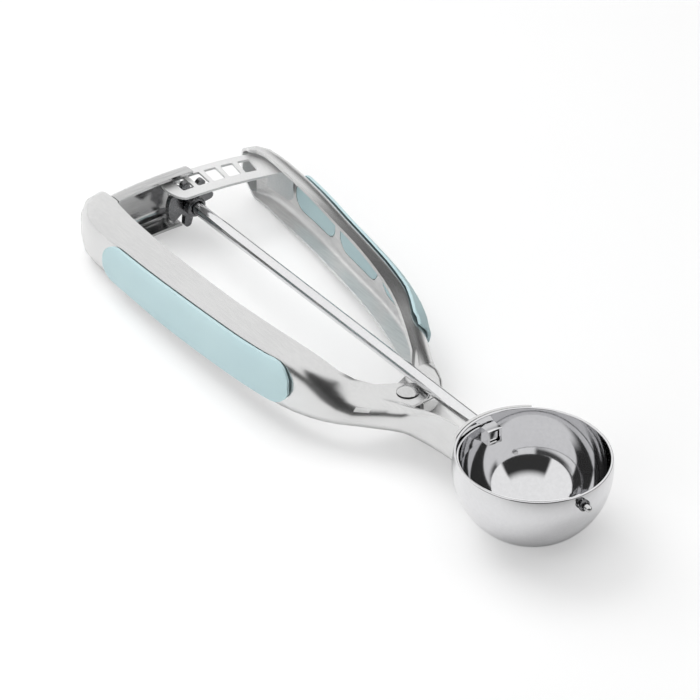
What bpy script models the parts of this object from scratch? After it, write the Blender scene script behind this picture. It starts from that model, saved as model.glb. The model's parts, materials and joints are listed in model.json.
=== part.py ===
"""Cookie scoop: two sprung handles turn a wiper band inside a round bowl through a rack and a pinion.

Every size is in metres. The tool's own frame has its origin at the centre of the bowl's ball, +X along
the rod towards the bowl's tip, +Y towards the moving handle and +Z out of the bowl's mouth. The whole
tool is then laid down as it lies on a table, on the bowl's underside and the handles' rear ends.
"""
import math

import bmesh
import bpy
import numpy as np
from mathutils import Matrix, Vector

# Sheet metal and running clearances
HANDLE_SHEET = 0.0009
BOWL_WALL = 0.0008
BAND_WALL = 0.0005
RACK_SHEET = 0.0008
GUIDE_SHEET = 0.0009
GAP = 0.0003

# Bowl
BOWL_RADIUS = 0.02325
BOWL_RIM_HEIGHT = 0.0042
BOWL_LEAN = math.radians(3.0)
SADDLE_HALF_ANGLE = math.radians(36.0)
SADDLE_DEPTH = 0.0112

# Rod, pinion and collar
ROD_RADIUS = 0.0020
ROD_SQUARE = 0.0030
ROD_SQUARE_LENGTH = 0.0034
PINION_THICKNESS = 0.0018
PINION_TIP_RADIUS = 0.0082
PINION_ROOT_RADIUS = 0.0045
PINION_LOBE_RADIUS = 0.0084
PINION_TOOTH_ROOT = 0.0032
PINION_TOOTH_TIP = 0.0026
PINION_POSITIONS = 7
PINION_TEETH = 5
PINION_FIRST_TOOTH = math.radians(106.0)
COLLAR_RADIUS = 0.0033
COLLAR_LENGTH = 0.0032
COLLAR_CHAMFER = 0.0005
LOBE_START = math.radians(144.0)
LOBE_END = math.radians(218.0)
LOBE_CORNER = 0.0012
ROD_REAR_REACH = 0.0096
ROD_CHAMFER = 0.0004

# Wiper band
BAND_WIDTH = 0.0065
BAND_END_WIDTH = 0.0046
SLEEVE_WALL = 0.0006
SLEEVE_LENGTH = 0.0039
TIP_EAR_RADIUS = 0.0024
TIP_PIN_RADIUS = 0.00102
TIP_PIN_REACH = 0.0040
TIP_PIN_HEAD_RADIUS = 0.0018
TIP_PIN_HEAD = 0.0005
TIP_COLLAR_RADIUS = 0.0018
TIP_COLLAR_LENGTH = 0.0012

# Pivot
NECK_LENGTH = 0.03095
PIVOT_SIDE = 0.0048
RIVET_RADIUS = 0.0019
RIVET_HEAD_RADIUS = 0.00345
RIVET_HEAD_HEIGHT = 0.0013
RIVET_TAIL_RADIUS = 0.0029
RIVET_TAIL_HEIGHT = 0.0008
PLATE_TOP = -0.0024
WASHER_RADIUS = 0.0038
WASHER_THICKNESS = 0.0006
SPACER_WALL = 0.0005
SPRING_WIRE = 0.00065
SPRING_TURNS = 13.0 / 6.0
SPRING_LEG_GAP = 0.0043
SPRING_MOVING_LEG = 0.0104
SPRING_START = math.radians(325.0)

# Handles
PIVOT_TO_PINION = 0.1208
FIXED_REACH = 0.0380
MOVING_REACH = 0.0323
GRIP_TOP = 0.0093
GRIP_BOTTOM = -0.0106
MOVING_PIVOT_BOTTOM = -0.0094
BOTTOM_FILLET = 0.0030
REAR_FILLET = 0.0070
SHOULDER = 0.0050
PLATE_RIDGE = 0.0012
NECK_WIDTH = 0.0096
NECK_LEAN = 0.0004
TOP_SLOPE = 0.40
LIP_REACH = 0.0017
LIP_RISE = 0.0019

# Grip pads and the windows behind them
PAD_THICKNESS = 0.0015
PAD_BED = 0.00062
PAD_HEIGHT = 0.0142
PAD_CENTRE_Z = -0.0008
PAD_CROWN = 0.0005
FIXED_PAD_ENDS = (-0.0740, -0.1638)
MOVING_PAD_ENDS = (-0.0748, -0.1636)
WINDOW_HEIGHT = 0.0102
WINDOW_CENTRE_Z = -0.0014
WINDOW_COUNT = 3
WINDOW_SPACE = 0.0027
WINDOW_ENDS = (-0.0842, -0.1629)

# Rack and its guide
TOOTH_PITCH = 0.0056
RACK_RADIUS_OFFSET = 0.0009
RACK_HOLE_LENGTH = 0.0041
RACK_HOLE_WIDTH = 0.0071
RACK_INNER_MARGIN = 0.0041
RACK_OUTER_MARGIN = 0.0028
RACK_NOSE = 0.0063
RACK_SEAT = 0.0010
RACK_END_SLANT = 0.0044
TAB_WIDTH = 0.0082
TAB_LOW = -0.0038
TAB_CORNER = 0.0006
TAB_STEP = 0.0029
TAB_FLANGE = 0.0072
RACK_HOLES = 5
RACK_HOLE_CORNER = 0.0006
GUIDE_BACK = 0.0090
GUIDE_LIP = 0.0020
GUIDE_BOTTOM = -0.0085
GUIDE_ROLL = 0.0050
GUIDE_DROP = 0.0040
GUIDE_FILLET = 0.0040
GUIDE_TOP_END = 0.0026
GUIDE_LOW_END = -0.0020
GUIDE_NEST = 0.0028
TONGUE_RADIUS = 0.0034

# Places worked out from the sizes
BALL_INNER = BOWL_RADIUS - BOWL_WALL
SADDLE_INNER = BOWL_RADIUS + GAP
PIVOT_X = -BOWL_RADIUS - NECK_LENGTH
PIVOT_Y = -PIVOT_SIDE
PINION_X = PIVOT_X - PIVOT_TO_PINION
ROD_REAR = PINION_X - ROD_REAR_REACH
ROD_FRONT = -(BALL_INNER - GAP) + SLEEVE_LENGTH - 2.0 * GAP
PITCH_RADIUS = TOOTH_PITCH * PINION_POSITIONS / (2.0 * math.pi)
RACK_RADIUS = math.hypot(PIVOT_TO_PINION, PIVOT_SIDE) + RACK_RADIUS_OFFSET
RACK_STEP = TOOTH_PITCH / RACK_RADIUS
TOOTH_STEP = 2.0 * math.pi / PINION_POSITIONS
TAB_END_Y = MOVING_REACH - HANDLE_SHEET - RACK_SEAT
TAB_START_Y = TAB_END_Y - TAB_WIDTH
MOVING_TOP = PLATE_TOP - HANDLE_SHEET - GAP
SPRING_TOP = MOVING_TOP - HANDLE_SHEET - GAP
SPRING_BOTTOM = MOVING_PIVOT_BOTTOM + HANDLE_SHEET + GAP

CIRCLE_STEPS = 32


def material(name, colour, metallic, roughness):
    """A plain Principled material of one colour."""
    made = bpy.data.materials.new(name)
    made.use_nodes = True
    shader = made.node_tree.nodes["Principled BSDF"]
    shader.inputs["Base Color"].default_value = (*colour, 1.0)
    shader.inputs["Metallic"].default_value = metallic
    shader.inputs["Roughness"].default_value = roughness
    return made


def empty(name, place, parent=None):
    """An empty that stands for a frame or a joint's axis."""
    made = bpy.data.objects.new(name, None)
    made.location = place
    made.parent = parent
    bpy.context.collection.objects.link(made)
    return made


def add_object(name, shape, parent, finish, smooth_angle=35.0):
    """Turn a bmesh that is drawn in the tool's frame into a named object under its parent's axis."""
    if parent.parent is not None:
        bmesh.ops.translate(shape, verts=shape.verts, vec=-Vector(parent.location))
    mesh = bpy.data.meshes.new(name)
    shape.to_mesh(mesh)
    shape.free()
    made = bpy.data.objects.new(name, mesh)
    made.parent = parent
    bpy.context.collection.objects.link(made)
    if finish is not None:
        mesh.materials.append(finish)
        mesh.shade_smooth()
        mesh.set_sharp_from_angle(angle=math.radians(smooth_angle))
    return made


def add_cutter(name, shape, parent):
    """A hidden helper solid for a Boolean."""
    made = add_object(name, shape, parent, None)
    made.hide_render = True
    made.display_type = "WIRE"
    return made


def boolean(target, helper, operation):
    step = target.modifiers.new(helper.name, "BOOLEAN")
    step.operation = operation
    step.object = helper
    step.solver = "EXACT"


def ring_points(radius, steps=CIRCLE_STEPS, start=0.0, turn=2.0 * math.pi):
    """Points of a circle, without the repeated last one."""
    angles = start + turn * np.arange(steps) / steps
    return [(radius * math.cos(a), radius * math.sin(a)) for a in angles]


def prism(outline, low, high, place):
    """Extrude a closed outline; place turns (u, v, height) into a point of the tool's frame."""
    shape = bmesh.new()
    rows = [[shape.verts.new(place(u, v, h)) for u, v in outline] for h in (low, high)]
    count = len(outline)
    for i in range(count):
        j = (i + 1) % count
        shape.faces.new((rows[0][i], rows[0][j], rows[1][j], rows[1][i]))
    shape.faces.new(rows[0][::-1])
    shape.faces.new(rows[1])
    bmesh.ops.recalc_face_normals(shape, faces=shape.faces)
    return shape


def along_x(u, v, h):
    return (h, u, v)


def along_z(u, v, h):
    return (u, v, h)


def turned(profile, place, steps=CIRCLE_STEPS):
    """Turn a closed profile of (radius, height) points about an axis; a radius of 0 is a pole."""
    shape = bmesh.new()
    rings = []
    for radius, height in profile:
        if radius == 0.0:
            rings.append([shape.verts.new(place(0.0, 0.0, height))])
        else:
            rings.append([shape.verts.new(place(x, y, height)) for x, y in ring_points(radius, steps)])
    closed = len(rings[0]) > 1
    pairs = list(zip(rings, rings[1:])) + ([(rings[-1], rings[0])] if closed else [])
    for low, high in pairs:
        for i in range(steps):
            j = (i + 1) % steps
            corners = [low[i % len(low)], low[j % len(low)], high[j % len(high)], high[i % len(high)]]
            unique = list(dict.fromkeys(corners))
            shape.faces.new(unique)
    bmesh.ops.recalc_face_normals(shape, faces=shape.faces)
    return shape


def about(x, y):
    """A placing function for shapes turned about an upright axis through (x, y)."""
    return lambda u, v, h: (x + u, y + v, h)


def smooth_rows(rows, count):
    """Pass a smooth curve through rows of numbers, spaced by the distance between their outer points."""
    rows = np.array(rows, dtype=float)
    steps = np.linalg.norm(np.diff(rows[:, 2:4], axis=0), axis=1) + 1e-4
    knots = np.concatenate(([0.0], np.cumsum(steps)))
    slopes = np.gradient(rows, knots, axis=0)
    made = []
    for place in np.linspace(0.0, knots[-1], count):
        i = min(int(np.searchsorted(knots, place, side="right")) - 1, len(rows) - 2)
        span = knots[i + 1] - knots[i]
        t = (place - knots[i]) / span
        h00 = 2 * t ** 3 - 3 * t ** 2 + 1
        h10 = t ** 3 - 2 * t ** 2 + t
        h01 = -2 * t ** 3 + 3 * t ** 2
        h11 = t ** 3 - t ** 2
        made.append(h00 * rows[i] + h10 * span * slopes[i] + h01 * rows[i + 1] + h11 * span * slopes[i + 1])
    return made


def sheet_from_rows(rows, skip=lambda row, column: False):
    """An open sheet through rows of points; skip leaves out the faces that the sheet doesn't have."""
    shape = bmesh.new()
    verts = [[shape.verts.new(point) for point in row] for row in rows]
    for i in range(len(rows) - 1):
        for j in range(len(rows[0]) - 1):
            if not skip(i, j):
                shape.faces.new((verts[i][j], verts[i][j + 1], verts[i + 1][j + 1], verts[i + 1][j]))
    loose = [v for v in shape.verts if not v.link_faces]
    bmesh.ops.delete(shape, geom=loose, context="VERTS")
    return shape


def thicken(target, thickness, offset):
    step = target.modifiers.new("sheet", "SOLIDIFY")
    step.thickness = thickness
    step.offset = offset
    step.use_even_offset = True
    step.use_quality_normals = True


# A rib is one cross-section of a handle: where its top edge and its outer wall stand in plan, how high its
# top is, how far the rounded shoulder rolls inwards and how far it drops, and where its floor ends. Lengths
# along the handle are shares of the distance from pivot to pinion, sideways ones are shares of the handle's
# reach, and the shoulder's roll and drop are shares of the shoulder's size.
FLANGE_FACES = 4
SHOULDER_FACES = 8
WALL_FACES = 3
FILLET_FACES = 4
FLOOR_FACES = 4
PROFILE_FACES = FLANGE_FACES + SHOULDER_FACES + WALL_FACES + FILLET_FACES + FLOOR_FACES


def profile(inner, outer, top, roll, drop, bottom, floor_edge, fillet, rise=0.0, slope=0.0):
    """Points of one handle section, from its top edge round the shoulder, wall and fillet to its floor's edge.

    The shoulder may first rise from the fold, as a low ridge beside a flat plate, and the whole top may
    slope down from its edge to the wall."""
    inner, outer, floor_edge = np.array(inner), np.array(outer), np.array(floor_edge)
    width = np.linalg.norm(inner - outer)
    fold = outer + (inner - outer) * min(roll, width * 0.98) / width
    inward = (floor_edge - outer) / np.linalg.norm(floor_edge - outer)
    points = []
    for t in np.arange(FLANGE_FACES) / FLANGE_FACES:
        place = inner + (fold - inner) * t
        points.append((*place, top - slope * np.linalg.norm(place - inner)))
    for angle in np.arange(SHOULDER_FACES) / SHOULDER_FACES * math.pi / 2:
        place = fold + (outer - fold) * math.sin(angle)
        sunk = slope * np.linalg.norm(place - inner) + drop * (1.0 - math.cos(angle))
        points.append((*place, top - sunk + rise * math.sin(2.0 * angle)))
    wall_top, wall_bottom = top - slope * width - drop, bottom + fillet
    for t in np.arange(WALL_FACES) / WALL_FACES:
        points.append((*outer, wall_top + (wall_bottom - wall_top) * t))
    for angle in np.arange(FILLET_FACES) / FILLET_FACES * math.pi / 2:
        place = outer + inward * fillet * (1.0 - math.cos(angle))
        points.append((*place, bottom + fillet * (1.0 - math.sin(angle))))
    floor_start = outer + inward * fillet
    for t in np.arange(FLOOR_FACES + 1) / FLOOR_FACES:
        points.append((*(floor_start + (floor_edge - floor_start) * t), bottom))
    return points


# Fixed handle, from the front of its pivot plate to its rear corner: inner edge x, y; wall x, y; top;
# roll; drop; floor edge x, y.
FIXED_RIBS = (
    (-0.048, -0.060, -0.062, -0.342, 0.00, 0.92, 0.80, -0.062, 0.226),
    (-0.026, 0.035, -0.034, -0.411, 0.00, 1.20, 0.84, -0.030, 0.216),
    (0.004, 0.055, -0.006, -0.495, 0.00, 1.52, 0.92, 0.008, 0.176),
    (0.034, 0.000, 0.020, -0.563, 0.00, 1.92, 1.00, 0.040, 0.084),
    (0.046, -0.171, 0.038, -0.626, 0.00, 2.40, 1.08, 0.060, -0.100),
    (0.064, -0.363, 0.070, -0.713, 0.21, 2.30, 1.20, 0.072, -0.350),
    (0.086, -0.520, 0.112, -0.790, 0.51, 1.80, 1.20, 0.095, -0.520),
    (0.130, -0.605, 0.160, -0.853, 0.79, 1.50, 1.12, 0.138, -0.605),
    (0.200, -0.665, 0.218, -0.900, 0.94, 1.30, 1.04, 0.202, -0.665),
    (0.300, -0.710, 0.312, -0.938, 0.99, 1.20, 1.00, 0.302, -0.712),
    (0.440, -0.745, 0.446, -0.966, 1.00, 1.20, 1.00, 0.440, -0.747),
    (0.575, -0.756, 0.580, -0.984, 1.00, 1.20, 1.00, 0.575, -0.758),
    (0.710, -0.758, 0.715, -0.997, 1.00, 1.20, 1.00, 0.710, -0.760),
    (0.842, -0.745, 0.852, -1.000, 1.00, 1.32, 1.04, 0.842, -0.746),
    (0.920, -0.729, 0.952, -1.000, 1.00, 1.48, 1.16, 0.920, -0.730),
    (0.970, -0.712, 1.030, -0.966, 1.00, 1.60, 1.28, 0.970, -0.712),
    (0.990, -0.702, 1.080, -0.880, 1.00, 1.64, 1.32, 0.990, -0.702),
    (1.000, -0.694, 1.103, -0.785, 1.00, 1.60, 1.32, 1.000, -0.694),
    (1.005, -0.684, 1.107, -0.690, 1.00, 1.56, 1.32, 1.005, -0.684),
)

# Moving handle, from the front of its pivot ear to its rear corner, in the same columns.
MOVING_RIBS = (
    (-0.033, -0.263, -0.046, -0.094, 0.00, 0.24, 0.24, -0.033, -0.263),
    (-0.010, -0.313, -0.036, 0.094, 0.00, 0.28, 0.28, -0.010, -0.313),
    (0.019, -0.306, -0.002, 0.250, 0.00, 0.32, 0.32, 0.019, -0.306),
    (0.041, -0.235, 0.036, 0.318, 0.00, 0.40, 0.36, 0.041, -0.235),
    (0.059, -0.088, 0.065, 0.372, 0.00, 0.57, 0.40, 0.059, -0.088),
    (0.074, 0.088, 0.091, 0.410, 0.05, 1.20, 0.62, 0.074, 0.080),
    (0.095, 0.172, 0.119, 0.452, 0.23, 1.30, 0.70, 0.095, 0.170),
    (0.131, 0.218, 0.156, 0.502, 0.56, 1.20, 0.72, 0.131, 0.232),
    (0.180, 0.275, 0.201, 0.562, 0.84, 1.00, 0.62, 0.180, 0.292),
    (0.253, 0.369, 0.272, 0.650, 0.97, 0.80, 0.60, 0.253, 0.387),
    (0.375, 0.497, 0.387, 0.760, 1.00, 0.80, 0.60, 0.375, 0.517),
    (0.495, 0.592, 0.503, 0.828, 1.00, 0.80, 0.60, 0.495, 0.612),
    (0.619, 0.662, 0.628, 0.890, 1.00, 0.85, 0.60, 0.619, 0.682),
    (0.760, 0.742, 0.772, 0.962, 1.00, 1.00, 0.62, 0.760, 0.758),
    (0.876, 0.784, 0.892, 0.998, 1.00, 1.20, 0.64, 0.876, 0.796),
    (0.950, 0.806, 0.985, 1.000, 1.00, 1.30, 0.66, 0.955, 0.822),
    (0.992, 0.803, 1.040, 0.955, 1.00, 1.30, 0.66, 0.990, 0.835),
    (1.012, 0.776, 1.058, 0.862, 1.00, 1.30, 0.66, 1.004, 0.798),
    (1.018, 0.738, 1.060, 0.756, 1.00, 1.30, 0.66, 1.014, 0.738),
)

# The moving handle's rear end is cut back towards its floor, along these (y, z) points.
MOVING_END_CUT = (
    (MOVING_REACH * 0.35, GRIP_BOTTOM * 1.2),
    (MOVING_REACH * 0.845, GRIP_BOTTOM * 1.2),
    (MOVING_REACH * 0.835, GRIP_BOTTOM * 0.8),
    (MOVING_REACH * 0.797, GRIP_BOTTOM * 0.5),
    (MOVING_REACH * 0.705, GRIP_TOP * 0.4),
    (MOVING_REACH * 0.35, GRIP_TOP * 0.4),
)
MOVING_END_INSET = -0.0020

FIXED_STATIONS = 32
MOVING_STATIONS = 30
NECK_STATIONS = 6
NECK_START_TOP = 0.0043


def real_rib(row, reach, low_top):
    """Turn a rib's shares into metres in the tool's frame."""
    ix, iy, ox, oy, top, roll, drop, fx, fy = row
    x = [PIVOT_X - share * PIVOT_TO_PINION for share in (ix, ox, fx)]
    y = [share * reach for share in (iy, oy, fy)]
    height = low_top + top * (GRIP_TOP - low_top)
    return (x[0], y[0], x[1], y[1], height, roll * SHOULDER, drop * SHOULDER, x[2], y[2])


def handle_rows(ribs, reach, low_top, bottom_of, fillet_of, count, rise_of=lambda x: 0.0,
                slope_of=lambda x: 0.0):
    """Sections of a handle as rows of points, with the floor's height and fillet at each place along it."""
    made = []
    for rib in smooth_rows([real_rib(row, reach, low_top) for row in ribs], count):
        ix, iy, ox, oy, top, roll, drop, fx, fy = rib
        made.append(profile((ix, iy), (ox, oy), top, roll, drop, bottom_of(ox), (fx, fy), fillet_of(ox),
                            rise_of(ox), slope_of(ox)))
    return made


def blend_along(x, start, end):
    """A smooth step from 0 to 1 between two shares of the way from the pivot to the pinion."""
    share = (PIVOT_X - x) / PIVOT_TO_PINION
    blend = min(max((share - start) / (end - start), 0.0), 1.0)
    return blend * blend * (3.0 - 2.0 * blend)


def fixed_bottom(x):
    return GRIP_BOTTOM


def fixed_fillet(x):
    """The fixed handle's lower edge is rounder towards its rear corner."""
    return BOTTOM_FILLET + (REAR_FILLET - BOTTOM_FILLET) * blend_along(x, 0.45, 0.95)


def fixed_rise(x):
    """The ridge beside the pivot plate dies out where the plate turns up into the handle's top."""
    return PLATE_RIDGE * (1.0 - blend_along(x, 0.10, 0.24))


def moving_bottom(x):
    """The moving handle's floor steps up over the fixed handle's floor near the pivot."""
    return MOVING_PIVOT_BOTTOM + (GRIP_BOTTOM - MOVING_PIVOT_BOTTOM) * blend_along(x, 0.12, 0.22)


def moving_fillet(x):
    return BOTTOM_FILLET


def moving_slope(x):
    """The moving handle's top slopes to the wall, least at the pivot and at the rear corner."""
    return TOP_SLOPE * blend_along(x, 0.05, 0.18) * (1.0 - 0.80 * blend_along(x, 0.45, 1.0))


def neck_rows(first_row):
    """Sections of the neck, from the bowl back to the pivot plate's front; their flange has no width."""
    saddle_mid = SADDLE_INNER + HANDLE_SHEET / 2.0
    fold = first_row[FLANGE_FACES]
    wall = first_row[FLANGE_FACES + SHOULDER_FACES]
    edge = first_row[-1]
    made = []
    for share in np.arange(NECK_STATIONS) / NECK_STATIONS:
        ease = share * share
        x = -BOWL_RADIUS + (fold[0] + BOWL_RADIUS) * share
        top = NECK_START_TOP + (fold[2] - NECK_START_TOP) * share * (0.35 + 0.65 * share)
        lean = NECK_LEAN + (abs(wall[1] - fold[1]) - NECK_LEAN) * ease
        wall_y = -NECK_WIDTH + (wall[1] + NECK_WIDTH) * ease
        drop = SHOULDER + (fold[2] - wall[2] - SHOULDER) * share
        right = NECK_WIDTH + (edge[1] - NECK_WIDTH) * share
        row = profile((x, wall_y + lean), (x, wall_y), top, lean, drop, GRIP_BOTTOM, (x, right), BOTTOM_FILLET,
                      PLATE_RIDGE * ease)
        if share == 0.0:
            row = [on_ball(saddle_mid, y, z) for x, y, z in row]
        made.append(row)
    return made


def on_ball(radius, y, z):
    """The point of a ball about the origin, on its rear side, at this y and z."""
    return (-math.sqrt(max(radius ** 2 - y ** 2 - z ** 2, 0.0)), y, z)


def with_lip(row, lip):
    """Turn the floor's right edge up to a low lip of this height."""
    x, y, z = row[-1]
    steps = [(0.53, 0.16), (0.88, 0.53), (1.0, 1.0)]
    return row + [(x, y + out * LIP_REACH, z + up * LIP_RISE * lip) for out, up in steps]


def build_saddle():
    """The cradle that wraps the bowl's rear, as a closed shell patch between two balls."""
    shape = bmesh.new()
    across, down = 16, 8
    shells = []
    for radius in (SADDLE_INNER, SADDLE_INNER + HANDLE_SHEET):
        grid = []
        for i in range(down + 1):
            row = []
            for j in range(across + 1):
                turn = SADDLE_HALF_ANGLE * (2.0 * j / across - 1.0)
                narrow = 1.0 - 0.45 * (i / down) ** 2
                x_dir, y_dir = -math.cos(turn * narrow), math.sin(turn * narrow)
                rim = BOWL_RIM_HEIGHT - GAP - math.sin(BOWL_LEAN) * radius * x_dir
                z = rim + (-SADDLE_DEPTH - rim) * i / down
                flat = math.sqrt(radius ** 2 - z ** 2)
                row.append(shape.verts.new((x_dir * flat, y_dir * flat, z)))
            grid.append(row)
        shells.append(grid)
    join_layers(shape, *shells)
    return shape


def wall_path(rows):
    """Plan points and outward directions along a handle's outer wall, with the distance along it."""
    column = FLANGE_FACES + SHOULDER_FACES + 1
    points = np.array([row[column][:2] for row in rows])
    inner = np.array([row[0][:2] for row in rows])
    tangents = np.gradient(points, axis=0)
    tangents /= np.linalg.norm(tangents, axis=1)[:, None]
    outward = np.column_stack((tangents[:, 1], -tangents[:, 0]))
    outward *= np.sign(np.sum(outward * (points - inner), axis=1))[:, None]
    lengths = np.concatenate(([0.0], np.cumsum(np.linalg.norm(np.diff(points, axis=0), axis=1))))
    last = FLANGE_FACES + SHOULDER_FACES + WALL_FACES + FILLET_FACES
    sides = [np.array(row[FLANGE_FACES:last + 1][::-1]) for row in rows]
    return points, outward, lengths, sides


def on_wall(path, distance, z, offset):
    """A plan point of the handle's side at a distance along it and a height, moved outwards by offset."""
    _, outward, lengths, sides = path
    i = min(int(np.searchsorted(lengths, distance, side="right")) - 1, len(lengths) - 2)
    t = (distance - lengths[i]) / (lengths[i + 1] - lengths[i])
    ends = [np.array([np.interp(z, side[:, 2], side[:, k]) for k in (0, 1)]) for side in sides[i:i + 2]]
    normal = outward[i] + (outward[i + 1] - outward[i]) * t
    return ends[0] + (ends[1] - ends[0]) * t + normal / np.linalg.norm(normal) * offset


def lozenge(path, start, end, half_height, inner_offset, outer_offset, centre_z, steps, across=6, crown=0.0):
    """A closed pad with round ends that follows the wall between two offsets from it."""
    shape = bmesh.new()
    ends = 5
    places = []
    for k in range(1, ends + 1):
        angle = math.pi / 2 * k / ends
        places.append((start + half_height * (1.0 - math.cos(angle)), math.sin(angle)))
    for k in range(1, steps):
        places.append((start + half_height + (end - start - 2 * half_height) * k / steps, 1.0))
    for k in range(ends, 0, -1):
        angle = math.pi / 2 * k / ends
        places.append((end - half_height * (1.0 - math.cos(angle)), math.sin(angle)))
    layers = []
    for offset, is_outer in ((inner_offset, False), (outer_offset, True)):
        grid = []
        for distance, share in places:
            row = []
            for k in range(across + 1):
                side = 2.0 * k / across - 1.0
                bow = crown * (1.0 - side * side) * share if is_outer else 0.0
                z = centre_z + side * share * half_height
                x, y = on_wall(path, distance, z, offset + bow)
                row.append(shape.verts.new((x, y, z)))
            grid.append(row)
        layers.append(grid)
    join_layers(shape, *layers)
    return shape


def join_layers(shape, low, high):
    """Close two matching grids of vertices into one solid."""
    last, across = len(low) - 1, len(low[0]) - 1
    for i in range(last):
        for j in range(across):
            shape.faces.new((low[i][j], low[i + 1][j], low[i + 1][j + 1], low[i][j + 1]))
            shape.faces.new((high[i][j], high[i][j + 1], high[i + 1][j + 1], high[i + 1][j]))
    border = [(0, j) for j in range(across)] + [(i, across) for i in range(last)]
    border += [(last, j) for j in range(across, 0, -1)] + [(i, 0) for i in range(last, 0, -1)]
    for k, (i, j) in enumerate(border):
        m, n = border[(k + 1) % len(border)]
        shape.faces.new((low[i][j], low[m][n], high[m][n], high[i][j]))
    bmesh.ops.recalc_face_normals(shape, faces=shape.faces)


def distance_at(path, x):
    """How far along the wall it passes this x."""
    points, _, lengths, _ = path
    order = np.argsort(points[:, 0])
    return float(np.interp(x, points[order, 0], lengths[order]))


def add_windows_and_pad(name, handle, rows, parent, pad_ends, finish):
    """Cut the windows of a handle's wall and fit the pad whose bosses fill them."""
    path = wall_path(rows)
    start, end = (distance_at(path, x) for x in pad_ends)
    pad = lozenge(path, start, end, PAD_HEIGHT / 2, PAD_BED, PAD_THICKNESS, PAD_CENTRE_Z, 24, 9, PAD_CROWN)
    pad_object = add_object(name, pad, parent, finish)
    first, last = (distance_at(path, x) for x in WINDOW_ENDS)
    span = (last - first - (WINDOW_COUNT - 1) * WINDOW_SPACE) / WINDOW_COUNT
    for k in range(WINDOW_COUNT):
        low = first + k * (span + WINDOW_SPACE)
        half = WINDOW_HEIGHT / 2
        hole = lozenge(path, low, low + span, half, -3 * HANDLE_SHEET, 2 * HANDLE_SHEET, WINDOW_CENTRE_Z, 5)
        boolean(handle, add_cutter(f"{name}_window_{k + 1}", hole, parent), "DIFFERENCE")
        boss = lozenge(path, low + GAP, low + span - GAP, half - GAP, -HANDLE_SHEET, (GAP + PAD_THICKNESS) / 2,
                       WINDOW_CENTRE_Z, 5)
        boolean(pad_object, add_cutter(f"{name}_boss_{k + 1}", boss, parent), "UNION")
    return pad_object


def cylinder_cutter(name, radius, low, high, place, parent):
    return add_cutter(name, prism(ring_points(radius), low, high, place), parent)


def fixed_rows():
    return handle_rows(FIXED_RIBS, FIXED_REACH, PLATE_TOP, fixed_bottom, fixed_fillet, FIXED_STATIONS,
                       fixed_rise)


def build_fixed_handle(parent, steel, rubber):
    rows = fixed_rows()
    neck = neck_rows(rows[0])
    lipped = len(neck)
    all_rows = [with_lip(row, 1.0 if k < lipped else 0.0) for k, row in enumerate(neck + rows)]
    low_columns = FLANGE_FACES

    def skip(i, j):
        no_flange = i < lipped and j < low_columns
        no_lip = i >= lipped - 1 and j >= PROFILE_FACES
        return no_flange or no_lip

    handle = add_object("fixed_handle", sheet_from_rows(all_rows, skip), parent, steel)
    thicken(handle, HANDLE_SHEET, 1.0)
    boolean(handle, add_cutter("saddle", build_saddle(), parent), "UNION")
    rod_hole = cylinder_cutter("saddle_hole", ROD_RADIUS + GAP, -2 * BOWL_RADIUS, 0.0, along_x, parent)
    boolean(handle, rod_hole, "DIFFERENCE")
    rivet_hole = cylinder_cutter("fixed_rivet_hole", RIVET_RADIUS + GAP, 2 * GRIP_BOTTOM, GRIP_TOP,
                                 about(PIVOT_X, PIVOT_Y), parent)
    boolean(handle, rivet_hole, "DIFFERENCE")
    add_windows_and_pad("fixed_grip_pad", handle, rows, parent, FIXED_PAD_ENDS, rubber)
    return handle


def build_moving_handle(parent, steel, rubber):
    rows = handle_rows(MOVING_RIBS, MOVING_REACH, MOVING_TOP, moving_bottom, moving_fillet, MOVING_STATIONS,
                       slope_of=moving_slope)
    handle = add_object("moving_handle", sheet_from_rows(rows), parent, steel)
    thicken(handle, HANDLE_SHEET, -1.0)
    rivet_hole = cylinder_cutter("moving_rivet_hole", RIVET_RADIUS + GAP, 2 * GRIP_BOTTOM, GRIP_TOP,
                                 about(PIVOT_X, PIVOT_Y), parent)
    boolean(handle, rivet_hole, "DIFFERENCE")
    end_cut = prism(MOVING_END_CUT, 2 * PINION_X, PINION_X - MOVING_END_INSET, along_x)
    boolean(handle, add_cutter("moving_end_cut", end_cut, parent), "DIFFERENCE")
    add_windows_and_pad("moving_grip_pad", handle, rows, parent, MOVING_PAD_ENDS, rubber)
    return handle


def build_bowl(parent, steel):
    """A ball-shaped shell that is a little deeper than half a ball, with its mouth leaning forwards."""
    outline = []
    for radius in (BOWL_RADIUS, BALL_INNER):
        last = math.asin(BOWL_RIM_HEIGHT / radius)
        arc = [(radius * math.cos(a), radius * math.sin(a)) for a in np.linspace(-math.pi / 2, last, 15)]
        arc[0] = (0.0, -radius)
        outline.append(arc)
    outer, inner = outline
    mid = (BOWL_RADIUS + BALL_INNER) / 2.0
    crest = (math.sqrt(mid ** 2 - BOWL_RIM_HEIGHT ** 2), BOWL_RIM_HEIGHT + BOWL_WALL * 0.25)
    shape = turned(outer + [crest] + inner[::-1], along_z, 44)
    bmesh.ops.rotate(shape, verts=shape.verts, cent=(0.0, 0.0, 0.0), matrix=Matrix.Rotation(BOWL_LEAN, 3, "Y"))
    bowl = add_object("bowl", shape, parent, steel)
    rod_hole = cylinder_cutter("bowl_rod_hole", ROD_RADIUS + GAP, -2 * BOWL_RADIUS, 0.0, along_x, parent)
    boolean(bowl, rod_hole, "DIFFERENCE")
    pin_hole = cylinder_cutter("bowl_pin_hole", TIP_PIN_RADIUS + GAP, 0.0, 2 * BOWL_RADIUS, along_x, parent)
    boolean(bowl, pin_hole, "DIFFERENCE")
    return bowl


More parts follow.
